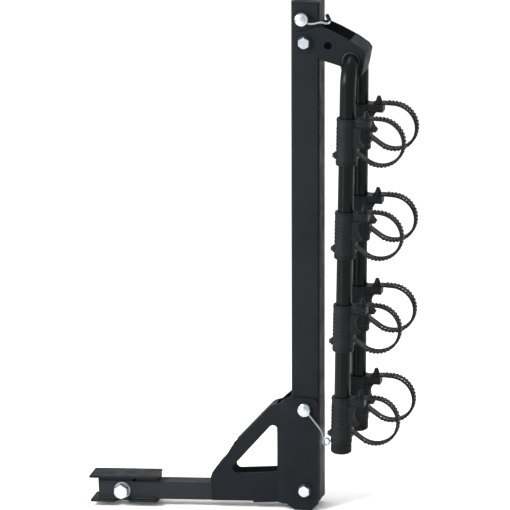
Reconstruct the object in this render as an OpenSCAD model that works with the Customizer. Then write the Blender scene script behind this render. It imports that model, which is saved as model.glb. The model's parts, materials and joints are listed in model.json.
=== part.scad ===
// Hitch mounted bike rack for four bikes, stowed: the two carry arms hang
// down beside the mast. Millimetres, +Z up, the tongue runs along X into
// the vehicle's receiver at -X, and the bikes hang at +X. The origin is the
// hitch bolt's axis on the centre line of the tongue.

/* [Tongue] */
// Width across the square tongue tube
tongue_w = 31.75; // [30:0.25:33]
// Wall of the tongue tube
tongue_wall = 4; // [3:0.5:5]
// Distance from the hitch bolt to the tilt pivot, along X
pivot_x = 338; // [310:1:360]
// Height of the tilt pivot above the centre line of the tongue
pivot_z = 9; // [4:1:14]
// How far the tongue tube reaches past the hitch bolt, into the receiver
tongue_reach = 44; // [36:1:50]

/* [Receiver adapter] */
// Width of the adapter's rails
adapter_w = 50; // [48:0.5:50.5]
// Height over both rails
adapter_h = 49; // [47:0.5:50.5]
// Length of the rails
adapter_len = 124; // [116:1:150]
// Thickness of the rails
rail_t = 4.5; // [4:0.5:6]
// Diameter of the hitch bolt
hitch_bolt_d = 15.9; // [12.7:0.1:16]

/* [Mast] */
// Width across the square mast tube
mast_w = 50.8; // [50:0.1:52]
// Wall of the mast tube
mast_wall = 3; // [2:0.5:4]
// Distance between the tilt pivot and the arm pivot
mast_pivots = 820; // [700:5:900]
// How far the mast leans back towards the bikes, in degrees
mast_lean = 2.8; // [0:0.2:5]
// How far the tube runs on above the arm pivot
mast_above = 69; // [66:1:70]
// How far the tube runs on below the tilt pivot
mast_below = 20; // [16:1:21]

/* [Plates] */
// Thickness of the gusset and bracket plates
plate_t = 4; // [3:0.5:5]
// Gap between the mast and each plate beside it
plate_gap = 0.6; // [0.4:0.1:1]
// Diameter of the two pivot bolts
pivot_d = 12.7; // [12:0.1:13]

/* [Lock pins] */
// Diameter of the two lock pins
pin_d = 12.7; // [12:0.1:13]
// Height of the tilt pin above the tilt pivot
tilt_pin_z = 150; // [140:1:155]
// Distance from the arm pivot to the arm pin
arm_pin_r = 42; // [40:0.5:44]
// Diameter of a lock pin's head
pin_head_d = 23; // [18:1:24]
// Wire of the pins' pull loops
wire_d = 3.6; // [3:0.1:4]

/* [Carry arms] */
// Diameter of the arm tubes
arm_d = 28; // [26:0.5:30]
// Wall of the arm tubes
arm_wall = 2; // [1.5:0.5:3]
// Distance from the arm pivot back to the arm tubes
arm_x = 83; // [80:1:88]
// Distance from the middle to each arm, just below its bend
arm_y = 56; // [52:1:60]
// Depth below the arm pivot where the bend ends
arm_bend_z = 70; // [68:1:74]
// Radius of the bend at the top of each arm
bend_r = 44; // [42:1:46]
// How far the lower arms splay apart, in degrees each
arm_splay = 1.5; // [0:0.1:2]
// How far the lower arms lean towards the mast, in degrees
arm_lean = 0.7; // [0:0.1:1.2]
// Length of each straight arm tube
arm_len = 656; // [640:1:680]
// Angle of the arm fold, from stowed to ready, in degrees
fold_angle = 102; // [90:1:105]

/* [Cradles] */
// Distance from the bend to the middle of the first cradle
cradle_first = 97; // [80:1:110]
// Distance between cradles
cradle_pitch = 168; // [150:1:168]
// Length of a cradle along its arm
cradle_len = 84; // [76:1:90]
// Outer diameter of a cradle's sleeve
cradle_d = 37; // [35:0.5:40]
// Middle radius of a strap's loop
loop_r = 41; // [36:0.5:43]
// Distance from the arm to the middle of the loop
loop_x = 60; // [56:1:64]
// Width of a strap
strap_w = 20; // [16:1:24]
// Thickness of a strap
strap_t = 3.2; // [2.5:0.1:4]

/* [Hidden] */
$fn = 64;
far = 1;
near = -1;
// Running clearance of a pivot or a sliding pin, on its radius
run = 0.05;
// Clearance of a hole that a pin passes with room to spare, on its radius
loose = 0.35;
tongue_half = tongue_w / 2;
mast_half = mast_w / 2;
// Inner and outer faces of the plates that straddle the mast
ear_in = mast_half + plate_gap;
ear_out = ear_in + plate_t;
foot_out = tongue_half + plate_t;
// The clevis back plate's inner face, clear of the mast's swinging foot
clevis_back = -34.5;
// The joggle, where the gusset plates step outwards from tongue to ears
joggle_x0 = -50;
joggle_x1 = -38.5;
adapter_x0 = -58;
adapter_bottom = -tongue_half - rail_t;
adapter_top = adapter_bottom + adapter_h;
arm_pin_angle = 96;
// Inner face of a lock pin's head, thickness of the head, and length past the far plate
pin_face = ear_out + 0.6;
pin_head_t = 9;
pin_tip = 9;
wire_y = -pin_face - pin_head_t / 2;
// Pivot bolts: washers, heads, nuts, spanner size, thread past the washer, sleeves in the mast
pivot_washer_t = 2;
pivot_head_t = 8;
pivot_nut_t = 11;
pivot_hex = 19;
pivot_tail = 15;
pivot_sleeve_d = 19;
arm_washer_gap = 0.4;
hitch_hex = 24;
// Round corners of the gusset's window, the mast and the bracket's boss
window_round = 8;
corner_r = 4;
bracket_boss_r = 20;
cap_t = 3;
// Half of the long cuts that go right through the rack
through = 60;
// Cradles on each arm, as many as their nodes
cradle_count = 4;
// Cradle: reach of the strap horn and its depth, peg, strap lug and clamp screw
horn_top = cradle_len / 2;
horn_x = 42;
horn_h = 14;
peg_x = 33;
lug_x = 20.5;
screw_z = -26;
// A strap's ends are thicker than its loop by a step, and lap over it
strap_step = 0.4;
strap_lap = 1.5;
loop_z = horn_top + strap_t / 2 - strap_step - loop_r;
loop_sweep = 215;
// How far the top bend turns before it meets the bracket plate
bend_angle = 80;
// A cap reaches up to the last cradle
arm_cap_len = arm_len + 3.5 - cradle_first - (cradle_count - 1) * cradle_pitch - cradle_len / 2;
arm_cap_d = 36;

// ---- Frames -------------------------------------------------------------

// The mast's frame: origin at the tilt pivot, z up along the mast
module at_mast() translate([pivot_x, 0, pivot_z]) rotate([0, mast_lean, 0]) children();

// The arms' frame when stowed: origin at the arm pivot
module at_arms() at_mast() translate([0, 0, mast_pivots]) children();

// One arm's frame: origin where its bend ends, z up along the arm
module at_arm(side) at_arms()
    translate([arm_x, side * arm_y, -arm_bend_z])
        rotate([side * arm_splay, arm_lean, 0]) children();

module at_cradle(side, index) at_arm(side)
    translate([0, 0, -cradle_first - (index - 1) * cradle_pitch]) children();

// ---- Shapes that repeat -------------------------------------------------

// A cylinder across the rack, from y0 to y1
module cross_rod(y0, y1, d) translate([0, y0, 0]) rotate([-90, 0, 0]) cylinder(h = y1 - y0, d = d);

module cross_hex(y0, y1, across) translate([0, y0, 0]) rotate([-90, 0, 0])
    cylinder(h = y1 - y0, d = across / cos(30), $fn = 6);

module cross_tube(y0, y1, d, bore) difference() {
    cross_rod(y0, y1, d);
    cross_rod(y0 - 1, y1 + 1, bore);
}

// A straight piece of round wire between two points, with a small round end
module wire(from, to, d) {
    run_v = to - from;
    len = norm(run_v);
    translate(from) rotate([0, acos(run_v.z / len), atan2(run_v.y, run_v.x)]) cylinder(h = len, d = d);
    translate(to) sphere(d = 1.12 * d, $fn = 32);
}

// Hex head bolt across the rack, its head on the near side at y = -face
module cross_bolt(face, d, across, head_t, tail) union() {
    cross_hex(-face - head_t, -face, across);
    cross_rod(-face - 0.01, tail, d);
}

module washer_pair(face, t, d, bore) {
    cross_tube(-face - t, -face, d, bore);
    cross_tube(face, face + t, d, bore);
}

// ---- Tongue and adapter -------------------------------------------------

module tongue_tube() color("#24282b") difference() {
    tongue_end = pivot_x + clevis_back - plate_t - 4;
    translate([-tongue_reach, -tongue_half, -tongue_half])
        cube([tongue_end + tongue_reach, tongue_w, tongue_w]);
    translate([-tongue_reach - 1, -tongue_half + tongue_wall, -tongue_half + tongue_wall])
        cube([tongue_end + tongue_reach + 2, tongue_w - 2 * tongue_wall, tongue_w - 2 * tongue_wall]);
    cross_rod(-30, 30, hitch_bolt_d + 0.6);
}

// Half-round recess in a rail's edge, so that a socket fits the bolt's head
module bolt_recess(side, z) translate([0, side * adapter_w / 2, z - 1]) cylinder(h = rail_t + 2, r = 13);

module rail(z) translate([adapter_x0, -adapter_w / 2, z]) cube([adapter_len, adapter_w, rail_t]);

module adapter_top_rail() color("#2a2e33") {
    rib_h = adapter_top - rail_t - tongue_half;
    rib_len = 64;
    rail(adapter_top - rail_t);
    // Two ribs hold the rail up off the tongue
    for (side = [near, far])
        translate([-tongue_reach, side * (tongue_half - 2.5) - 2.5, tongue_half])
            cube([rib_len, 5, rib_h + 0.5]);
    // The rail's outer end is turned down onto the tongue
    translate([adapter_x0 + adapter_len - rail_t, -tongue_half - 4, tongue_half])
        cube([rail_t, tongue_w + 8, rib_h + 0.5]);
}

module adapter_bottom_rail() color("#1d2023") difference() {
    rail(adapter_bottom);
    for (side = [near, far]) bolt_recess(side, adapter_bottom);
}

module hitch_bolt() color("#c9cdd2")
    cross_bolt(tongue_half + 5.5, hitch_bolt_d, hitch_hex, 10, 46);

module hitch_spring_washer() color("#b9bec4") difference() {
    cross_tube(-tongue_half - 5.5, -tongue_half - 2.2, 25, hitch_bolt_d + 0.4);
    translate([0, -tongue_half - 4, 0]) rotate([0, 25, 0]) cube([2, 8, 40], center = true);
}

module hitch_flat_washer() color("#b9bec4")
    cross_tube(-tongue_half - 2.2, -tongue_half, 30, hitch_bolt_d + 0.4);

module hitch_nut() color("#b9bec4") difference() {
    cross_hex(tongue_half, tongue_half + 13, hitch_hex);
    cross_rod(tongue_half - 1, tongue_half + 14, hitch_bolt_d + 0.1);
}

// ---- Gusset and clevis --------------------------------------------------

// A point of the mast's frame, given in the tongue's directions
function lean(x, z) = [x * cos(mast_lean) + z * sin(mast_lean), z * cos(mast_lean) - x * sin(mast_lean)];

// Outline of a gusset plate from the side, about the tilt pivot
gusset_outline = [[-174, -24.5], [-174, 17], [-170, 28], [-160, 41], [-146, 55], lean(-133, 74),
    lean(-64, 150), lean(-50, 155), lean(-34, 169), lean(-28, 171), lean(17, 171), lean(24, 164),
    lean(24, -24), lean(12, -37), lean(-20, -37), lean(-34, -27), [-98, -27.5], [-98, -24.5]];

// Plan of a gusset plate: flat on the tongue, a joggle, then the ear
gusset_plan = [[-180, tongue_half], [joggle_x0, tongue_half], [joggle_x1, ear_in], [60, ear_in],
    [60, ear_out], [joggle_x1 - 1.5, ear_out], [joggle_x0 - 1.5, foot_out], [-180, foot_out]];

// Window of the gusset as straight sides with round corners
module window_cut() {
    round_d = 2 * window_round;
    corners = [[-125, 35], lean(-60, 35), lean(-60, 106)];
    for (c = corners) translate([c.x, 0, c.y]) cross_rod(-through, through, round_d);
    rotate([90, 0, 0]) linear_extrude(2 * through, center = true) polygon([
        [corners[0].x, corners[0].y - window_round], [corners[1].x, corners[1].y - window_round],
        corners[1] + lean(window_round, 0), corners[2] + lean(window_round, 0),
        corners[2] + [-window_round * sin(47), window_round * cos(47)],
        corners[0] + [-window_round * sin(47), window_round * cos(47)]]);
}

module gusset_plate(side) translate([pivot_x, 0, pivot_z]) difference() {
    intersection() {
        rotate([90, 0, 0]) linear_extrude(2 * through, center = true) polygon(gusset_outline);
        rotate([0, mast_lean, 0]) translate([0, 0, -60]) linear_extrude(300)
            scale([1, side]) polygon(gusset_plan);
    }
    window_cut();
    cross_rod(-through, through, pivot_d + 2 * run);
    rotate([0, mast_lean, 0]) translate([0, 0, tilt_pin_z]) cross_rod(-through, through, pin_d + 2 * run);
}

module near_gusset_plate() color("#23272a") gusset_plate(near);
module far_gusset_plate() color("#23272a") gusset_plate(far);

// Closes the sloping top edge between the two gusset plates
module gusset_ridge_plate() color("#2c3034") translate([pivot_x, 0, pivot_z])
    rotate([90, 0, 0]) linear_extrude(tongue_w - 0.02, center = true)
        polygon([lean(-133, 74), lean(-64, 150), lean(-56, 152), lean(-56, 147.5),
            lean(-62, 146), lean(-129.5, 71.5)]);

module clevis_back_plate() color("#202427") at_mast()
    translate([clevis_back - plate_t, -ear_in + 0.01, -24])
        cube([plate_t, 2 * ear_in - 0.02, 176]);

// ---- Tilt pivot and tilt pin --------------------------------------------

module tilt_pivot_bolt() color("#c9cdd2") at_mast()
    cross_bolt(ear_out + pivot_washer_t, pivot_d, pivot_hex, pivot_head_t,
        ear_out + pivot_washer_t + pivot_tail);

module pivot_nut(gap) difference() {
    base = ear_out + gap + pivot_washer_t;
    union() {
        cross_hex(base, base + pivot_nut_t - 3, pivot_hex);
        cross_rod(base, base + pivot_nut_t, 16.5);
    }
    cross_rod(base - 1, base + 20, pivot_d + 0.1);
}

module tilt_pivot_nut() color("#b9bec4") at_mast() pivot_nut(0);

module tilt_pivot_washers() color("#b9bec4") at_mast()
    washer_pair(ear_out, pivot_washer_t, 24, pivot_d + 0.4);

// Turned head of a lock pin, on the near side
module pin_head() {
    cross_rod(-pin_face - pin_head_t, -pin_face, pin_head_d);
    cross_rod(-pin_face - pin_head_t - 3, -pin_face - pin_head_t + 0.01, pin_head_d - 7);
}

module tilt_pin() color("#d4d8dc") at_mast() translate([0, 0, tilt_pin_z]) {
    pin_head();
    cross_rod(-pin_face - 0.01, -ear_in, pin_d);
    cross_rod(ear_in, ear_out + pin_tip, pin_d);
}

// Pull wire: two strands from the head to a ring
module tilt_pin_wire() color("#c2c6ca") at_mast() translate([0, wire_y, tilt_pin_z]) {
    ring_at = [40, 0, -55];
    wire([9.5, 0, -9.5], [31, 0, -36], wire_d);
    wire([31, 0, -36], [36, 0, -47.5], wire_d);
    translate(ring_at) rotate([90, 0, 0]) rotate_extrude() translate([6, 0]) circle(d = wire_d, $fn = 32);
}

// ---- Mast ---------------------------------------------------------------

module square_bar(w, z0, z1) translate([-w / 2, -w / 2, z0]) cube([w, w, z1 - z0]);

module rounded_square(w, r) union() {
    square([w - 2 * r, w], center = true);
    square([w, w - 2 * r], center = true);
    for (x = [-1, 1], y = [-1, 1]) translate([x * (w / 2 - r), y * (w / 2 - r)]) circle(r, $fn = 32);
}

module mast_tube() color("#26302f") at_mast() difference() {
    mast_len = mast_below + mast_pivots + mast_above;
    translate([0, 0, -mast_below]) difference() {
        linear_extrude(mast_len) rounded_square(mast_w, corner_r);
        translate([0, 0, -1]) linear_extrude(mast_len + 2)
            rounded_square(mast_w - 2 * mast_wall, corner_r - mast_wall + 0.5);
    }
    cross_rod(-through, through, pivot_sleeve_d);
    translate([0, 0, tilt_pin_z]) cross_rod(-through, through, pin_d + 2 * loose);
    translate([0, 0, mast_pivots]) {
        cross_rod(-through, through, pivot_sleeve_d);
        arm_pin_place() cross_rod(-through, through, pin_d + 2 * run);
    }
}

module mast_top_cap() color("#15181a") at_mast() translate([0, 0, mast_pivots + mast_above]) {
    linear_extrude(cap_t) rounded_square(mast_w, corner_r);
    translate([0, 0, -9]) linear_extrude(9.01) rounded_square(mast_w - 2 * mast_wall - 0.4, 1);
}

module tilt_pivot_sleeve() color("#8b9095") at_mast()
    cross_tube(-mast_half, mast_half, pivot_sleeve_d, pivot_d + 2 * run);

// ---- Arm pivot and arm pin ----------------------------------------------

module arm_pivot_sleeve() color("#8b9095") at_arms()
    cross_tube(-mast_half, mast_half, pivot_sleeve_d, pivot_d + 0.02);

module arm_pivot_bolt() color("#c9cdd2") at_arms()
    cross_bolt(ear_out + arm_washer_gap + pivot_washer_t, pivot_d, pivot_hex, pivot_head_t,
        ear_out + arm_washer_gap + pivot_washer_t + pivot_tail);

module arm_pivot_nut() color("#b9bec4") at_arms() pivot_nut(arm_washer_gap);

module arm_pivot_washers() color("#b9bec4") at_arms()
    washer_pair(ear_out + arm_washer_gap, pivot_washer_t, 24, pivot_d + 0.4);

// Place on the mast of the arm pin's hole
module arm_pin_place() translate([arm_pin_r * cos(arm_pin_angle), 0, arm_pin_r * sin(arm_pin_angle)])
    children();

module arm_pin() color("#d4d8dc") at_arms() arm_pin_place() {
    pin_head();
    cross_rod(-mast_half + 0.1, mast_half - 0.1, pin_d);
    cross_rod(pin_face, pin_face + pin_tip, pin_d);
}

module arm_pin_wire() color("#c2c6ca") at_arms() translate([0, wire_y, 0]) {
    wire([7, 0, 36], [43.5, 0, 37.5], wire_d);
    wire([43.5, 0, 37.5], [47.5, 0, 40.9], wire_d);
}

module arm_pin_grip() color("#141618") at_arms() translate([0, wire_y, 0]) {
    translate([46, 0, 42.5]) rotate([0, -25, 0]) {
        cylinder(h = 9, d = 7.5);
        translate([0, 0, 9]) sphere(d = 7.5);
    }
}

// ---- Arm bracket --------------------------------------------------------

// Outline of a bracket plate from the side, about the arm pivot; its ends lie in the boss
bracket_outline = [[-5.4, 19.1], [10, 24], [22, 28], [36, 27], [54, 19.7], [85, 4.4], [104, -8],
    [109.5, -16], [105.5, -38], [101, -58], [68, -58], [64, -40], [46, -35], [30, -31], [8, -14.45]];

module bracket_plate(side) at_arms() difference() {
    y_mid = side * (ear_in + ear_out) / 2;
    union() {
        cross_rod(y_mid - plate_t / 2, y_mid + plate_t / 2, 2 * bracket_boss_r);
        translate([0, y_mid, 0]) rotate([90, 0, 0]) linear_extrude(plate_t, center = true)
            polygon(bracket_outline);
    }
    cross_rod(-through, through, pivot_d + 2 * run);
    rotate([0, fold_angle, 0]) arm_pin_place() cross_rod(-through, through, pin_d + 2 * loose);
}

module near_bracket_plate() color("#25292c") bracket_plate(near);
module far_bracket_plate() color("#25292c") bracket_plate(far);

module bracket_back_plate() color("#2b2f33") at_arms() rotate([90, 0, 0])
    linear_extrude(2 * ear_in - 0.02, center = true)
        polygon([[80, 6.8], [104, -8], [109.5, -16], [105.5, -38], [101.5, -55.5], [97.5, -54.7],
            [101.4, -38], [105.1, -17], [101.5, -11.2], [79.6, 2.3]]);

// ---- Carry arms ---------------------------------------------------------

module tube_ring() difference() {
    circle(d = arm_d);
    circle(d = arm_d - 2 * arm_wall);
}

// Straight tube with a bend at its top, cut off against the bracket plate
module arm_tube(side) difference() {
    at_arm(side) mirror([0, side == near ? 1 : 0, 0]) union() {
        translate([0, 0, -arm_len]) linear_extrude(arm_len) tube_ring();
        translate([0, -bend_r, 0]) rotate([90, 0, 90])
            rotate_extrude(angle = bend_angle) translate([bend_r, 0]) tube_ring();
    }
    at_arms() translate([0, 0, -60]) cube([300, 2 * ear_out, 160], center = true);
}

module near_arm_tube() color("#1b1e20") arm_tube(near);
module far_arm_tube() color("#1b1e20") arm_tube(far);

// Rubber cap over the lower end of an arm
module arm_cap(side) at_arm(side) translate([0, 0, -arm_len - 4]) difference() {
    union() {
        cylinder(h = arm_cap_len, d = arm_cap_d);
        translate([0, 0, -2]) cylinder(h = 2.01, d = arm_cap_d - 6);
    }
    translate([0, 0, 4]) cylinder(h = arm_cap_len, d = arm_d + 0.1);
}

module near_arm_cap() color("#0f1112") arm_cap(near);
module far_arm_cap() color("#0f1112") arm_cap(far);

// ---- Cradles ------------------------------------------------------------

// Sleeve with a strap horn at the top, a strap lug below and a clamp screw boss
module cradle(side, index) at_cradle(side, index) difference() {
    union() {
        translate([0, 0, -cradle_len / 2]) cylinder(h = cradle_len, d = cradle_d);
        translate([8, -11, horn_top - horn_h]) cube([horn_x - 8, 22, horn_h]);
        translate([peg_x, 0, horn_top - 0.01]) {
            cylinder(h = strap_t + 0.8, d = 7);
            translate([0, 0, strap_t + 0.4]) cylinder(h = 10, d1 = 12.5, d2 = 6);
        }
        translate([8, -11, -30]) cube([lug_x - 8, 22, 21]);
        translate([-cradle_d / 2 - 2.5, 0, screw_z]) rotate([0, 90, 0]) cylinder(h = 8, d = 14);
    }
    translate([0, 0, -cradle_len]) cylinder(h = 2 * cradle_len, d = arm_d + 0.1);
}

// Soft saddle pad with a round groove across it, where a bike's tube lies
module cradle_pad(side, index) at_cradle(side, index) difference() {
    translate([10, -13, -8.8]) cube([21, 26, 36.6]);
    translate([0, 0, -cradle_len]) cylinder(h = 2 * cradle_len, d = cradle_d);
    translate([43, 0, 9.5]) cross_rod(-20, 20, 44);
}

module cradle_screw(side, index) at_cradle(side, index)
    translate([-cradle_d / 2 - 6.5, 0, screw_z]) rotate([0, 90, 0]) cylinder(h = 4, d = 9);

module pads(side) for (index = [1 : cradle_count]) cradle_pad(side, index);
module screws(side) for (index = [1 : cradle_count]) cradle_screw(side, index);

// Strap: thick flat end over the peg, slimmer round loop, and a thick tail that meets the lug
module strap(side, index) at_cradle(side, index) difference() {
    union() {
        translate([peg_x - 9, -strap_w / 2, horn_top])
            cube([loop_x - peg_x + 9 + strap_lap, strap_w, strap_t + strap_step]);
        translate([loop_x, 0, loop_z]) rotate([90, loop_sweep - 90, 0]) {
            rotate_extrude(angle = loop_sweep)
                translate([loop_r - strap_t / 2, strap_step - strap_w / 2])
                    square([strap_t, strap_w - 2 * strap_step]);
            translate([loop_r - strap_t / 2 - strap_step, -26, -strap_w / 2])
                cube([strap_t + 2 * strap_step, 26 + strap_lap, strap_w]);
        }
    }
    translate([lug_x - 40, -strap_w, -60]) cube([40, 2 * strap_w, 60]);
    translate([peg_x, 0, horn_top - 1]) cylinder(h = strap_t + 2, d = 8);
}

module near_cradle_1() color("#17191b") cradle(near, 1);
module near_cradle_2() color("#17191b") cradle(near, 2);
module near_cradle_3() color("#17191b") cradle(near, 3);
module near_cradle_4() color("#17191b") cradle(near, 4);
module far_cradle_1() color("#17191b") cradle(far, 1);
module far_cradle_2() color("#17191b") cradle(far, 2);
module far_cradle_3() color("#17191b") cradle(far, 3);
module far_cradle_4() color("#17191b") cradle(far, 4);
module near_cradle_pads() color("#1f2224") pads(near);
module far_cradle_pads() color("#1f2224") pads(far);
module near_cradle_screws() color("#33373a") screws(near);
module far_cradle_screws() color("#33373a") screws(far);
module near_strap_1() color("#101214") strap(near, 1);
module near_strap_2() color("#101214") strap(near, 2);
module near_strap_3() color("#101214") strap(near, 3);
module near_strap_4() color("#101214") strap(near, 4);
module far_strap_1() color("#101214") strap(far, 1);
module far_strap_2() color("#101214") strap(far, 2);
module far_strap_3() color("#101214") strap(far, 3);
module far_strap_4() color("#101214") strap(far, 4);

tongue_tube();
adapter_top_rail();
adapter_bottom_rail();
hitch_bolt();
hitch_spring_washer();
hitch_flat_washer();
hitch_nut();
near_gusset_plate();
far_gusset_plate();
gusset_ridge_plate();
clevis_back_plate();
tilt_pivot_bolt();
tilt_pivot_nut();
tilt_pivot_washers();
tilt_pin();
tilt_pin_wire();
mast_tube();
mast_top_cap();
tilt_pivot_sleeve();
arm_pivot_sleeve();
arm_pivot_bolt();
arm_pivot_nut();
arm_pivot_washers();
arm_pin();
arm_pin_wire();
arm_pin_grip();
near_bracket_plate();
far_bracket_plate();
bracket_back_plate();
near_arm_tube();
far_arm_tube();
near_arm_cap();
far_arm_cap();
near_cradle_1();
near_cradle_2();
near_cradle_3();
near_cradle_4();
far_cradle_1();
far_cradle_2();
far_cradle_3();
far_cradle_4();
near_cradle_pads();
far_cradle_pads();
near_cradle_screws();
far_cradle_screws();
near_strap_1();
near_strap_2();
near_strap_3();
near_strap_4();
far_strap_1();
far_strap_2();
far_strap_3();
far_strap_4();
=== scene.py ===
"""Looks of the hitch mounted bike rack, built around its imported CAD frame."""
import json
import math

import bmesh
import bpy
from mathutils import Matrix, Vector, noise


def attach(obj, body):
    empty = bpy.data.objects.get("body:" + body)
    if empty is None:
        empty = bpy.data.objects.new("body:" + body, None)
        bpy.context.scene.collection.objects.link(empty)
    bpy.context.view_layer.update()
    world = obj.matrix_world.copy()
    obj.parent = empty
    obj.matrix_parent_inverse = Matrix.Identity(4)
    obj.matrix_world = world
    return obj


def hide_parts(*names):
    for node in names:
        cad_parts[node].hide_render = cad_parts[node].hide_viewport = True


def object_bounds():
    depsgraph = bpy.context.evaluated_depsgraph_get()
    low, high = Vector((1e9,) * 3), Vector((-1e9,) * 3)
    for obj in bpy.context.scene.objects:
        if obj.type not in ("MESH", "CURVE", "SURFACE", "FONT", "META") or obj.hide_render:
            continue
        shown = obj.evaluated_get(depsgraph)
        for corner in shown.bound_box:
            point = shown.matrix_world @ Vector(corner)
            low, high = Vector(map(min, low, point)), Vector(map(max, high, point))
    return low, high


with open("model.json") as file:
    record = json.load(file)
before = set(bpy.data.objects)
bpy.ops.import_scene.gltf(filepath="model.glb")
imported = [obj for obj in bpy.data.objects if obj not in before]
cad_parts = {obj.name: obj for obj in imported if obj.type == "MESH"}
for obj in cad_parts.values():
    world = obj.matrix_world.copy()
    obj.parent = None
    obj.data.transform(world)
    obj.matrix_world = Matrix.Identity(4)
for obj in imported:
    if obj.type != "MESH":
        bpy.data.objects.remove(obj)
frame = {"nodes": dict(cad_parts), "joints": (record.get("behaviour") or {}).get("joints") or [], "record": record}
cad_box = [list(corner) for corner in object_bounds()]

MM = 0.001
NEAR, FAR = -1, 1
SIDES = {"near": NEAR, "far": FAR}

# Driving sizes of the part, in millimetres, as in its own source
TONGUE_HALF = 31.75 / 2
EAR_OUT = 30.0
PIN_FACE = EAR_OUT + 0.6
PIN_D = 12.7
PIN_HEAD_D = 23.0
PIN_HEAD_T = 9.0
TILT_PIN_Z = 150.0
ARM_PIN_R = 42.0
ARM_PIN_ANGLE = 96.0
WIRE_D = 3.6
WIRE_Y = -PIN_FACE - PIN_HEAD_T / 2
ARM_X, ARM_Y, ARM_BEND_Z = 83.0, 56.0, 70.0
ARM_D, BEND_R = 28.0, 44.0
ARM_SPLAY, ARM_LEAN = 1.5, 0.7
CRADLES = 4
CRADLE_FIRST, CRADLE_PITCH = 97.0, 168.0
CRADLE_LEN, CRADLE_D = 84.0, 37.0
HORN_TOP = CRADLE_LEN / 2
PEG_X = 33.0
LOOP_R, LOOP_X = 41.0, 60.0
STRAP_W, STRAP_T = 20.0, 3.2
STRAP_STEP = 0.4
LOOP_Z = HORN_TOP + STRAP_T / 2 - STRAP_STEP - LOOP_R
LOOP_SWEEP = 215.0
CAP_RING_R = 18.0
RING_STEPS = 48

# ---- Frames --------------------------------------------------------------

joints = {j["name"]: j for j in frame["joints"]}
tilt_pivot = Vector(joints["mast_tilt"]["pos_m"])
arm_pivot = Vector(joints["arm_fold"]["pos_m"])
mast_axis = arm_pivot - tilt_pivot
mast_lean = math.atan2(mast_axis.x, mast_axis.z)


def turn(angle, axis):
    return Matrix.Rotation(math.radians(angle), 4, axis)


def shift(x, y, z):
    return Matrix.Translation(Vector((x, y, z)) * MM)


AT_TONGUE = Matrix.Identity(4)
AT_MAST = Matrix.Translation(tilt_pivot) @ Matrix.Rotation(mast_lean, 4, "Y")
AT_ARMS = Matrix.Translation(arm_pivot) @ Matrix.Rotation(mast_lean, 4, "Y")


def at_arm(side):
    place = AT_ARMS @ shift(ARM_X, side * ARM_Y, -ARM_BEND_Z)
    return place @ turn(ARM_LEAN, "Y") @ turn(side * ARM_SPLAY, "X")


def at_cradle(side, index):
    return at_arm(side) @ shift(0, 0, -CRADLE_FIRST - (index - 1) * CRADLE_PITCH)


# ---- Camera, light and floor ---------------------------------------------

CAMERA_AZIMUTH, CAMERA_ELEVATION, CAMERA_ROLL = 13.27, 14.96, -3.0
CAMERA_DISTANCE = 12.0
# Width of the scene that the frame takes in, at the target
FRAME_WIDTH = 0.9017
TARGET = (0.300, 0, 0.430)
TARGET_LEFT, TARGET_UP = 0.0368, 0.0042


def make_camera():
    a, e = math.radians(CAMERA_AZIMUTH), math.radians(CAMERA_ELEVATION)
    back = Vector((math.sin(a) * math.cos(e), -math.cos(a) * math.cos(e), math.sin(e)))
    right = Vector((math.cos(a), math.sin(a), 0))
    up = back.cross(right)
    r = math.radians(CAMERA_ROLL)
    right, up = right * math.cos(r) + up * math.sin(r), up * math.cos(r) - right * math.sin(r)
    target = Vector(TARGET) - right * TARGET_LEFT + up * TARGET_UP
    data = bpy.data.cameras.new("camera")
    data.sensor_width = 36
    data.lens = data.sensor_width * CAMERA_DISTANCE / FRAME_WIDTH
    data.clip_end = 100
    camera = bpy.data.objects.new("camera", data)
    bpy.context.scene.collection.objects.link(camera)
    axes = Matrix((right, up, back)).transposed().to_4x4()
    camera.matrix_world = Matrix.Translation(target + back * CAMERA_DISTANCE) @ axes
    bpy.context.scene.camera = camera


def area_light(name, place, aim, size, power):
    data = bpy.data.lights.new(name, "AREA")
    data.energy = power
    data.shape = "RECTANGLE"
    data.size, data.size_y = size
    light = bpy.data.objects.new(name, data)
    light.location = place
    light.rotation_euler = (Vector(aim) - Vector(place)).to_track_quat("-Z", "Y").to_euler()
    bpy.context.scene.collection.objects.link(light)


def make_studio():
    world = bpy.data.worlds.new("studio")
    world.use_nodes = True
    background = world.node_tree.nodes["Background"]
    background.inputs["Color"].default_value = (1, 1, 1, 1)
    background.inputs["Strength"].default_value = 1.06
    bpy.context.scene.world = world
    bpy.context.scene.view_settings.view_transform = "Standard"
    area_light("key", (-0.75, -1.15, 1.35), (0.36, 0, 0.86), (0.55, 0.55), 40)
    area_light("top", (0.1, 0.1, 2.6), (0.3, 0, 0.6), (0.9, 0.9), 12)
    area_light("side", (-1.9, -0.55, 1.0), (0.33, 0, 0.6), (0.8, 0.8), 9)
    # Low and slim, to light the arm tubes from the near side
    area_light("strip", (-0.13, -0.88, 0.32), (0.43, -0.05, 0.32), (0.12, 0.6), 2.2)
    bpy.ops.mesh.primitive_plane_add(size=60, location=(0, 0, cad_box[0][2] - 0.0005))
    floor = bpy.context.object
    floor.name = "floor"
    paint = bpy.data.materials.new("pale_floor")
    paint.use_nodes = True
    shader = paint.node_tree.nodes["Principled BSDF"]
    shader.inputs["Base Color"].default_value = (0.97, 0.97, 0.97, 1)
    shader.inputs["Roughness"].default_value = 0.9
    floor.data.materials.append(paint)


make_camera()
make_studio()

# ---- Materials -----------------------------------------------------------


def noise_node(tree, coords, scale, detail):
    node = tree.nodes.new("ShaderNodeTexNoise")
    node.inputs["Scale"].default_value = scale
    node.inputs["Detail"].default_value = detail
    tree.links.new(coords, node.inputs["Vector"])
    return node


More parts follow.
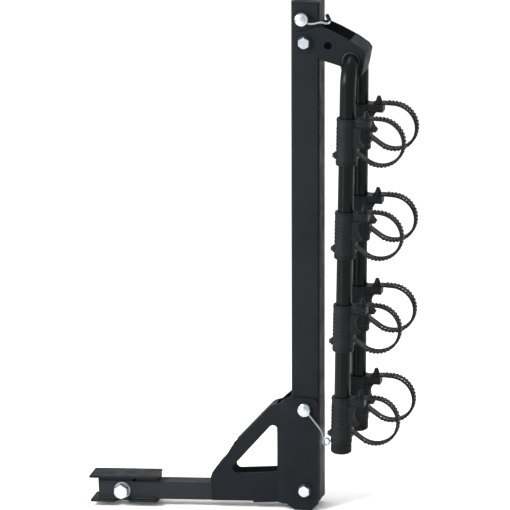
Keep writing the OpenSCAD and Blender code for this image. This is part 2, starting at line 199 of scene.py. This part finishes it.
def ramp_node(tree, source, stops):
    node = tree.nodes.new("ShaderNodeValToRGB")
    ramp = node.color_ramp
    for element, (place, value) in zip(ramp.elements, (stops[0], stops[-1])):
        element.position = place
        element.color = value
    for place, value in stops[1:-1]:
        ramp.elements.new(place).color = value
    tree.links.new(source, node.inputs["Fac"])
    return node


def grey(value):
    return (value, value, value, 1)


def scaled(colour, factor):
    return tuple(min(1, c * factor) for c in colour) + (1,)


def surface(name, colour, rough, metal=0.0, bump=0.1, bump_scale=900.0, patch_scale=14.0,
            spread=0.18, stretch=(1, 1, 1), specular=0.5, pale_edge_highlight=None, coat=0.0):
    """A material with patches of tone and roughness, a fine grain and, if given, pale convex edges painted as a
    highlight.
    """
    material = bpy.data.materials.new(name)
    material.use_nodes = True
    tree = material.node_tree
    shader = tree.nodes["Principled BSDF"]
    shader.inputs["Metallic"].default_value = metal
    shader.inputs["Specular IOR Level"].default_value = specular
    shader.inputs["Coat Weight"].default_value = coat
    coords = tree.nodes.new("ShaderNodeTexCoord").outputs["Object"]
    mapping = tree.nodes.new("ShaderNodeMapping")
    mapping.inputs["Scale"].default_value = stretch
    tree.links.new(coords, mapping.inputs["Vector"])
    patches = noise_node(tree, mapping.outputs["Vector"], patch_scale, 5)
    tones = ramp_node(tree, patches.outputs["Fac"],
                      [(0.3, scaled(colour, 1 - spread)), (0.7, scaled(colour, 1 + spread))])
    shade = tones.outputs["Color"]
    # Painted highlight: convex edges, found by pointiness, are mixed towards a paler colour
    if pale_edge_highlight:
        edge = ramp_node(tree, tree.nodes.new("ShaderNodeNewGeometry").outputs["Pointiness"],
                         [(0.53, grey(0)), (0.62, grey(0.5))])
        mix = tree.nodes.new("ShaderNodeMixRGB")
        tree.links.new(edge.outputs["Color"], mix.inputs["Fac"])
        tree.links.new(shade, mix.inputs["Color1"])
        mix.inputs["Color2"].default_value = tuple(pale_edge_highlight) + (1,)
        shade = mix.outputs["Color"]
    tree.links.new(shade, shader.inputs["Base Color"])
    smudges = noise_node(tree, coords, patch_scale * 3.1, 4)
    gloss = ramp_node(tree, smudges.outputs["Fac"],
                      [(0.3, grey(rough * 0.85)), (0.72, grey(rough * 1.2))])
    tree.links.new(gloss.outputs["Color"], shader.inputs["Roughness"])
    grain = noise_node(tree, mapping.outputs["Vector"], bump_scale, 3)
    relief = tree.nodes.new("ShaderNodeBump")
    relief.inputs["Strength"].default_value = bump
    relief.inputs["Distance"].default_value = 0.0004
    tree.links.new(grain.outputs["Fac"], relief.inputs["Height"])
    tree.links.new(relief.outputs["Normal"], shader.inputs["Normal"])
    return material


MATERIALS = {
    # base_powder's paler edge colour is a painted highlight along its edges
    "base_powder": surface("base_powder", (0.0034, 0.0052, 0.0070), 0.55, bump=0.30, bump_scale=650,
                           specular=0.11, pale_edge_highlight=(0.02, 0.024, 0.027)),
    "mast_powder": surface("mast_powder", (0.0050, 0.0068, 0.0082), 0.55, bump=0.25, bump_scale=650,
                           specular=0.11),
    "arm_powder": surface("arm_powder", (0.0030, 0.0036, 0.0038), 0.28, bump=0.16, bump_scale=700,
                          specular=0.10),
    "bright_zinc": surface("bright_zinc", (0.50, 0.54, 0.59), 0.27, metal=1.0, bump=0.10,
                           bump_scale=1500, patch_scale=60, spread=0.10),
    "dull_zinc": surface("dull_zinc", (0.30, 0.32, 0.35), 0.40, metal=1.0, bump=0.14,
                         bump_scale=1300, patch_scale=50, spread=0.14),
    "spring_wire": surface("spring_wire", (0.27, 0.28, 0.29), 0.30, metal=1.0, bump=0.06,
                           bump_scale=1800, patch_scale=70, spread=0.10),
    "black_oxide": surface("black_oxide", (0.035, 0.036, 0.040), 0.38, metal=0.9, bump=0.10,
                           bump_scale=1400, patch_scale=80, spread=0.2),
    "cradle_plastic": surface("cradle_plastic", (0.0030, 0.0039, 0.0047), 0.50, bump=0.45,
                              bump_scale=1400, specular=0.16),
    "pad_rubber": surface("pad_rubber", (0.0062, 0.0068, 0.0075), 0.66, bump=0.35, bump_scale=1100,
                          specular=0.12),
    "strap_rubber": surface("strap_rubber", (0.0034, 0.0048, 0.0060), 0.50, bump=0.3, bump_scale=1200,
                            specular=0.18),
    "cap_rubber": surface("cap_rubber", (0.0036, 0.0039, 0.0042), 0.58, bump=0.35, bump_scale=1200,
                          specular=0.14),
    "cap_plastic": surface("cap_plastic", (0.0042, 0.0047, 0.0054), 0.45, bump=0.35, bump_scale=1300,
                           specular=0.16),
}
WELD = surface("painted_weld", (0.0068, 0.0090, 0.0108), 0.40, bump=0.5, bump_scale=500, specular=0.2)

slot_of = {s["node"]: s["material_slot"] for s in frame["record"]["subparts"]}
body_of = {n: b for b, nodes in frame["record"]["behaviour"]["bodies"].items() for n in nodes}

for node_name, cad in frame["nodes"].items():
    cad.data.materials.clear()
    cad.data.materials.append(MATERIALS[slot_of[node_name]])

# ---- Building blocks -----------------------------------------------------


def put(name, mesh, body, slot, replaced=(), material=None, smooth_below=35.0):
    """Makes a piece of a bmesh whose coordinates are metres in the row's frame."""
    bmesh.ops.recalc_face_normals(mesh, faces=mesh.faces)
    data = bpy.data.meshes.new(name)
    mesh.to_mesh(data)
    mesh.free()
    data.shade_smooth()
    data.set_sharp_from_angle(angle=math.radians(smooth_below))
    data.materials.append(material or MATERIALS[slot])
    piece = bpy.data.objects.new(name, data)
    bpy.context.scene.collection.objects.link(piece)
    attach(piece, body)
    if replaced:
        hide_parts(*replaced)
    return piece


def eased(node, width, segments=2):
    """A copy of a CAD node with its sharp edges rounded, standing for the node."""
    mesh = bmesh.new()
    mesh.from_mesh(frame["nodes"][node].data)
    bmesh.ops.remove_doubles(mesh, verts=mesh.verts, dist=2e-6)
    bmesh.ops.dissolve_limit(mesh, angle_limit=math.radians(1.5), verts=mesh.verts, edges=mesh.edges)
    piece = put(node + "_eased", mesh, body_of[node], slot_of[node], (node,))
    bevel = piece.modifiers.new("ease", "BEVEL")
    bevel.width = width * MM
    bevel.segments = segments
    bevel.limit_method = "ANGLE"
    bevel.angle_limit = math.radians(38)
    bevel.use_clamp_overlap = True
    bevel.harden_normals = True
    return piece


def round_angles(steps=RING_STEPS):
    return [2 * math.pi * k / steps for k in range(steps)]


def circle(radius, z, angles):
    """Points in mm about the Z axis, at height z."""
    return [(radius * math.cos(t), radius * math.sin(t), z) for t in angles]


def rim(mesh, place, radius, y, t):
    """A vertex at an angle about the place's Y axis."""
    return mesh.verts.new(place @ (Vector((radius * math.cos(t), y, radius * math.sin(t))) * MM))


def lathe(mesh, place, profile, steps=RING_STEPS):
    """Turns a profile of (distance along -Y, radius) pairs about the place's Y axis."""
    rings = []
    for along, radius in profile:
        rings.append([rim(mesh, place, radius, -along, t) for t in round_angles(steps)])
    join_rings(mesh, rings)
    for ring in (rings[0], rings[-1]):
        mesh.faces.new(ring)


def join_rings(mesh, rings, closed=False):
    pairs = list(zip(rings, rings[1:]))
    if closed:
        pairs.append((rings[-1], rings[0]))
    for a, b in pairs:
        for i in range(len(a)):
            j = (i + 1) % len(a)
            mesh.faces.new((a[i], a[j], b[j], b[i]))


def sweep(mesh, place, path, radius, steps=12, closed=False):
    """A round rod along a path of points in mm; radius is a number or a function of the index."""
    points = [Vector(p) for p in path]
    last = len(points) - 1
    rings = []
    side = None
    for i, point in enumerate(points):
        if closed:
            along = points[(i + 1) % len(points)] - points[i - 1]
        else:
            along = points[min(i + 1, last)] - points[max(i - 1, 0)]
        along.normalize()
        if side is None:
            side = along.orthogonal().normalized()
        side = (side - along * side.dot(along)).normalized()
        other = along.cross(side)
        r = radius(i) if callable(radius) else radius
        ring = []
        for t in round_angles(steps):
            spot = point + side * r * math.cos(t) + other * r * math.sin(t)
            ring.append(mesh.verts.new(place @ (spot * MM)))
        rings.append(ring)
    join_rings(mesh, rings, closed)
    if not closed:
        mesh.faces.new(rings[0])
        mesh.faces.new(rings[-1])


def smooth_path(corners, steps=8):
    """Points along a Catmull-Rom curve through the corners."""
    p = [Vector(c) for c in corners]
    p = [2 * p[0] - p[1]] + p + [2 * p[-1] - p[-2]]
    path = []
    for a, b, c, d in zip(p, p[1:], p[2:], p[3:]):
        for k in range(steps):
            t = k / steps
            path.append(0.5 * (2 * b + (c - a) * t + (2 * a - 5 * b + 4 * c - d) * t ** 2
                               + (3 * b - a - 3 * c + d) * t ** 3))
    path.append(p[-2])
    return path


def block(mesh, place, low, high, ease=0.5):
    """A box with chamfered edges, between two corners in mm."""
    low, high = Vector(low), Vector(high)
    made = bmesh.ops.create_cube(mesh, size=1.0)
    middle, size = (low + high) / 2, high - low
    for vert in made["verts"]:
        vert.co = Vector([m + s * c for m, s, c in zip(middle, size, vert.co)])
    edges = list({edge for vert in made["verts"] for edge in vert.link_edges})
    cut = bmesh.ops.bevel(mesh, geom=edges, offset=min(ease, min(size) * 0.3), segments=1,
                          affect="EDGES", profile=0.5)
    verts = {vert for face in cut["faces"] for vert in face.verts}
    verts |= {vert for vert in made["verts"] if vert.is_valid}
    for vert in verts:
        vert.co = place @ (vert.co * MM)


# ---- Fasteners and pins --------------------------------------------------


def hex_head(mesh, place, face, across, height):
    """A hex head with a round chamfer, standing from -face towards the near side."""
    flat = across / 2
    rings = []
    for along, cap in ((0.0, None), (height * 0.72, None), (height * 0.86, 1.09), (height, 0.98)):
        ring = []
        for t in round_angles():
            sector = (t + math.pi / 6) % (math.pi / 3) - math.pi / 6
            radius = flat / math.cos(sector)
            if cap:
                radius = min(radius, flat * cap)
            ring.append(rim(mesh, place, radius, -face - along, t))
        rings.append(ring)
    join_rings(mesh, rings)
    mesh.faces.new(rings[0])
    mesh.faces.new(rings[-1])


def thread(mesh, place, start, end, d, pitch=1.8, steps=28):
    """A helical thread from y=start to y=end, with a round point."""
    rings = []
    count = int((end - start) / pitch * 6)
    for j in range(count + 1):
        y = start + (end - start) * j / count
        fade = min(1, (end - y) / 1.5 + 0.1, (y - start) / 1.5 + 0.1)
        ring = []
        for i, t in enumerate(round_angles(steps)):
            phase = (y / pitch - i / steps) % 1.0
            depth = 0.9 * abs(2 * phase - 1) * min(1, fade) + 1.1 * max(0, 1 - (end - y) / 1.6)
            r = d / 2 - depth
            ring.append(rim(mesh, place, r, y, t))
        rings.append(ring)
    join_rings(mesh, rings)
    mesh.faces.new(rings[0])
    mesh.faces.new(rings[-1])


def make_bolt(node, place, face, across, head_t, d, tail, thread_from):
    mesh = bmesh.new()
    hex_head(mesh, place, face, across, head_t)
    lathe(mesh, place, [(face, d / 2), (-thread_from, d / 2)], steps=32)
    thread(mesh, place, thread_from, tail, d)
    put(node + "_detailed", mesh, body_of[node], slot_of[node], (node,), smooth_below=28)


def pin_profile():
    head, tip = PIN_FACE + PIN_HEAD_T, -EAR_OUT - 9
    r, shaft = PIN_HEAD_D / 2, PIN_D / 2
    return [(head + 3, r - 5.2), (head + 2.4, r - 4.0), (head + 0.6, r - 3.4), (head, r - 1.6),
            (head - 1.0, r - 0.3), (head - 1.8, r), (head - 3.4, r), (head - 3.9, r - 0.7),
            (head - 4.7, r - 0.7), (head - 5.2, r), (PIN_FACE + 1.2, r), (PIN_FACE + 0.3, r - 0.8),
            (PIN_FACE, r - 1.6), (PIN_FACE, shaft), (tip + 5.5, shaft), (tip + 5.1, shaft - 1.0),
            (tip + 3.6, shaft - 1.0), (tip + 3.2, shaft), (tip + 1.6, shaft - 0.3), (tip, shaft - 2.0)]


def make_pin(node, place):
    mesh = bmesh.new()
    lathe(mesh, place, pin_profile())
    put(node + "_whole", mesh, body_of[node], slot_of[node], (node,), smooth_below=30)


def coil(centre, radius, turns, rise, start=0.0, steps=20):
    count = int(turns * steps)
    for i in range(count + 1):
        t = start + 2 * math.pi * turns * i / count
        yield Vector(centre) + Vector((radius * math.cos(t), rise * (i / count - 0.5), radius * math.sin(t)))


def make_tilt_wire():
    """The tilt pin's pull wire: an eye on the head, a straight strand and a two-turn ring."""
    place = AT_MAST @ shift(0, WIRE_Y, TILT_PIN_Z)
    mesh = bmesh.new()
    strand = smooth_path([(8.5, 0, -7.5), (13.5, 0, -13.5), (22, 0, -24), (31, 0, -36), (34.6, 0, -46)])
    ring = list(coil((40, 0, -55), 6, 1.9, 2.6, start=math.radians(120)))
    sweep(mesh, place, strand + ring[1:], WIRE_D / 2, steps=14)
    put("tilt_pin_wire_bent", mesh, "tilt_pin_body", "spring_wire", ("tilt_pin_wire",))


def make_arm_wire():
    """The arm pin's wire: from the head back over the bracket, its end turned up in a grip."""
    place = AT_ARMS @ shift(0, WIRE_Y, 0)
    mesh = bmesh.new()
    path = smooth_path([(4.5, 0, 36.5), (10, 0, 34.8), (17, 0, 35.4), (30, 0, 38.4), (40, 0, 37.2),
                        (45.5, 0, 38.4), (46.6, 0, 42.6)])
    sweep(mesh, place, path, WIRE_D / 2, steps=14)
    put("arm_pin_wire_bent", mesh, "arm_pin_body", "spring_wire", ("arm_pin_wire",))
    mesh = bmesh.new()
    grip = place @ shift(46, 0, 42.5) @ turn(-25, "Y") @ turn(90, "X")
    profile = [(-0.6, 2.3), (0, 3.4), (1.2, 3.75)]
    profile += [(2 + k * 1.1, 3.75 if k % 2 else 3.35) for k in range(7)]
    profile += [(10.4, 3.5), (11.6, 2.9), (12.5, 1.8), (12.9, 0.6)]
    lathe(mesh, grip, [(-along, radius) for along, radius in profile], steps=28)
    put("arm_pin_grip_moulded", mesh, "arm_pin_body", "cap_rubber", ("arm_pin_grip",))


def make_fasteners():
    make_bolt("hitch_bolt", AT_TONGUE, TONGUE_HALF + 5.5, 24, 10, 15.9, 46, TONGUE_HALF)
    make_bolt("tilt_pivot_bolt", AT_MAST, EAR_OUT + 2, 19, 8, 12.7, EAR_OUT + 17, EAR_OUT + 1)
    make_bolt("arm_pivot_bolt", AT_ARMS, EAR_OUT + 2.4, 19, 8, 12.7, EAR_OUT + 17.4, EAR_OUT + 1)
    make_pin("tilt_pin", AT_MAST @ shift(0, 0, TILT_PIN_Z))
    angle = math.radians(ARM_PIN_ANGLE)
    make_pin("arm_pin", AT_ARMS @ shift(ARM_PIN_R * math.cos(angle), 0, ARM_PIN_R * math.sin(angle)))
    make_tilt_wire()
    make_arm_wire()
    for node in ("hitch_nut", "tilt_pivot_nut", "arm_pivot_nut"):
        eased(node, 0.7)
    for node in ("hitch_spring_washer", "hitch_flat_washer", "tilt_pivot_washers", "arm_pivot_washers"):
        eased(node, 0.4)
    for side in SIDES:
        eased(side + "_cradle_screws", 0.9)


# ---- Welds ---------------------------------------------------------------


def weld(name, place, path, body, radius=2.2, closed=False):
    """A painted bead along a path, with the ripple of its passes."""
    def bead(i):
        return radius * (1 + 0.10 * math.sin(i * 2.1) + 0.08 * noise.noise(Vector((i * 0.7, radius, 3.1))))

    mesh = bmesh.new()
    sweep(mesh, place, path, bead, steps=10, closed=closed)
    put(name, mesh, body, "base_powder", material=WELD, smooth_below=60)


def line(a, b, step=1.6):
    a, b = Vector(a), Vector(b)
    count = max(2, int((b - a).length / step))
    return [a.lerp(b, i / count) for i in range(count + 1)]


def leaned(x, z, y):
    """A point of the mast's side view in the tongue's directions, about the tilt pivot."""
    c, s = math.cos(mast_lean), math.sin(mast_lean)
    return (x * c + z * s, y, z * c - x * s)


def arm_seam(side):
    """Where an arm's bend meets the outside face of its bracket plate."""
    tube_r = ARM_D / 2
    for t in round_angles(64):
        ring = BEND_R + tube_r * math.cos(t)
        turn_at = math.acos((EAR_OUT - ARM_Y + BEND_R) / ring)
        x, z = ARM_X + tube_r * math.sin(t), -ARM_BEND_Z + ring * math.sin(turn_at)
        yield (x, side * (EAR_OUT + 0.4), z)


def make_welds():
    at_pivot = Matrix.Translation(tilt_pivot)
    for name, side in SIDES.items():
        edge = side * (TONGUE_HALF + 0.6)
        foot = line((-174.4, edge, -22), (-174.4, edge, 5))
        ridge = line(leaned(-131, 75, side * 15.9), leaned(-65, 148, side * 15.9))
        rib = line((-42, side * 15.6, 16.2), (19, side * 15.6, 16.2))
        rail = line((-42, side * 16.2, -15.8), (60, side * 16.2, -15.8))
        back = line((105.3, side * 25.6, -12), (100.5, side * 25.6, -52))
        weld(name + "_foot_weld", at_pivot, foot, "base", 2.4)
        weld(name + "_ridge_weld", at_pivot, ridge, "base", 1.9)
        weld(name + "_rib_weld", AT_TONGUE, rib, "base", 1.7)
        weld(name + "_rail_weld", AT_TONGUE, rail, "base", 1.7)
        weld(name + "_arm_weld", AT_ARMS, list(arm_seam(side)), "arms", 2.4, closed=True)
        weld(name + "_back_weld", AT_ARMS, back, "arms", 1.5)


# ---- Straps and cradles --------------------------------------------------


def strap_at(s):
    """Point, outward direction and forward direction of the strap's middle line, s mm from the peg."""
    top = LOOP_X - PEG_X
    arc = math.radians(LOOP_SWEEP) * LOOP_R
    if s <= top:
        drop = STRAP_STEP * min(1, max(0, s / top)) ** 2
        point = Vector((PEG_X + s, 0, HORN_TOP + STRAP_T / 2 - drop))
        return point, Vector((0, 0, 1)), Vector((1, 0, 0))
    angle = math.pi / 2 - min(s - top, arc) / LOOP_R
    out = Vector((math.cos(angle), 0, math.sin(angle)))
    ahead = Vector((out.z, 0, -out.x))
    point = Vector((LOOP_X, 0, LOOP_Z)) + out * LOOP_R + ahead * max(0, s - top - arc)
    return point, out, ahead


STRAP_LEN = LOOP_X - PEG_X + math.radians(LOOP_SWEEP) * LOOP_R + 21
RUNG_PITCH = 6.4


def strap_bar(mesh, place, y_low, y_high, s_low, s_high, inner, outer, step=2.2):
    """A bar along the strap between two widths and two thicknesses, with eased corners."""
    count = max(1, int((s_high - s_low) / step))
    ease = 0.55
    section = [(y_low + ease, inner), (y_high - ease, inner),
               (y_high, inner + ease), (y_high, outer - ease),
               (y_high - ease, outer), (y_low + ease, outer),
               (y_low, outer - ease), (y_low, inner + ease)]
    rings = []
    for i in range(count + 1):
        point, out, _ = strap_at(s_low + (s_high - s_low) * i / count)
        spots = [point + out * h + Vector((0, y, 0)) for y, h in section]
        rings.append([mesh.verts.new(place @ (spot * MM)) for spot in spots])
    join_rings(mesh, rings)
    mesh.faces.new(rings[0])
    mesh.faces.new(rings[-1])


def make_strap(name, side, index):
    """A ladder strap: an eye over the peg, two side rails, rungs with proud teeth and a solid tail."""
    place = at_cradle(side, index)
    mesh = bmesh.new()
    half, thick = STRAP_W / 2, STRAP_T / 2
    eye = place @ shift(PEG_X, 0, HORN_TOP + thick) @ turn(90, "X")
    profile = [(-thick, 4.2), (-thick, 8.6), (-thick + 0.8, 9.4),
               (thick - 0.8, 9.4), (thick, 8.6), (thick, 4.2)]
    rings = []
    for along, radius in profile:
        rings.append([rim(mesh, eye, radius, along, t) for t in round_angles(32)])
    join_rings(mesh, rings, closed=True)
    for y_low, y_high in ((-half, -half + 5.4), (half - 5.4, half)):
        strap_bar(mesh, place, y_low, y_high, 6, STRAP_LEN, -thick, thick)
    for s_low, s_high in ((8.2, 13), (STRAP_LEN - 26, STRAP_LEN)):
        strap_bar(mesh, place, -half + 4.6, half - 4.6, s_low, s_high, 0.1 - thick, thick - 0.1)
    at = 16.0
    while at < STRAP_LEN - 28:
        strap_bar(mesh, place, -half + 0.8, half - 0.8, at, at + 3.4, -thick - 0.2, thick + 1.6, step=1.7)
        at += RUNG_PITCH
    put("%s_strap_%d_ladder" % (name, index), mesh, "arms", "strap_rubber",
        ("%s_strap_%d" % (name, index),), smooth_below=40)


def make_cradle_trim(name, side, index):
    """Raised ribs round a cradle's sleeve and ridges across its saddle pad."""
    place = at_cradle(side, index)
    mesh = bmesh.new()
    ring_r = CRADLE_D / 2
    for z in (-39.5, -35.5, 38.5):
        sweep(mesh, place, circle(ring_r, z, round_angles()), 0.9, steps=8, closed=True)
    part_way = [math.radians(70 + 220 * k / 40) for k in range(41)]
    for z in (-12, -5, 2, 9, 16, 23):
        sweep(mesh, place, circle(ring_r, z, part_way), 0.85, steps=8)
    for y in (-11, 11):
        block(mesh, place, (19, y - 0.7, HORN_TOP - 12), (39, y + 0.7, HORN_TOP - 9.5))
        block(mesh, place, (19, y - 0.7, HORN_TOP - 5), (39, y + 0.7, HORN_TOP - 2.5))
    put("%s_cradle_%d_ribs" % (name, index), mesh, "arms", "cradle_plastic", smooth_below=50)
    mesh = bmesh.new()
    for angle in range(138, 223, 12):
        t = math.radians(angle)
        x, z = 43 + 21.9 * math.cos(t), 9.5 + 21.9 * math.sin(t)
        sweep(mesh, place, line((x, -12, z), (x, 12, z), 6), 0.8, steps=8)
    put("%s_cradle_%d_ridges" % (name, index), mesh, "arms", "pad_rubber", smooth_below=50)


def make_cradles():
    for name, side in SIDES.items():
        for index in range(1, CRADLES + 1):
            eased("%s_cradle_%d" % (name, index), 1.1)
            make_cradle_trim(name, side, index)
            make_strap(name, side, index)
        eased(name + "_cradle_pads", 1.2)


# ---- Plates, rails and caps ----------------------------------------------


def make_caps():
    eased("mast_top_cap", 1.4, 3)
    mesh = bmesh.new()
    top = AT_ARMS @ shift(0, 0, 72)
    block(mesh, top, (-19, -19, -0.3), (19, 19, 0.7), ease=0.6)
    put("mast_cap_panel", mesh, "mast", "cap_plastic")
    for name, side in SIDES.items():
        eased(name + "_arm_cap", 1.6, 3)
        mesh = bmesh.new()
        for z in (4, 8, 12):
            path = circle(CAP_RING_R, z, round_angles())
            sweep(mesh, at_arm(side) @ shift(0, 0, -660), path, 0.8, steps=8, closed=True)
        put(name + "_arm_cap_rings", mesh, "arms", "cap_rubber", smooth_below=50)


def make_plates():
    for node in ("near_gusset_plate", "far_gusset_plate", "near_bracket_plate", "far_bracket_plate",
                 "gusset_ridge_plate", "bracket_back_plate", "adapter_top_rail", "adapter_bottom_rail"):
        eased(node, 0.9, 3)
    eased("clevis_back_plate", 0.6)


make_plates()
make_caps()
make_fasteners()
make_welds()
make_cradles()
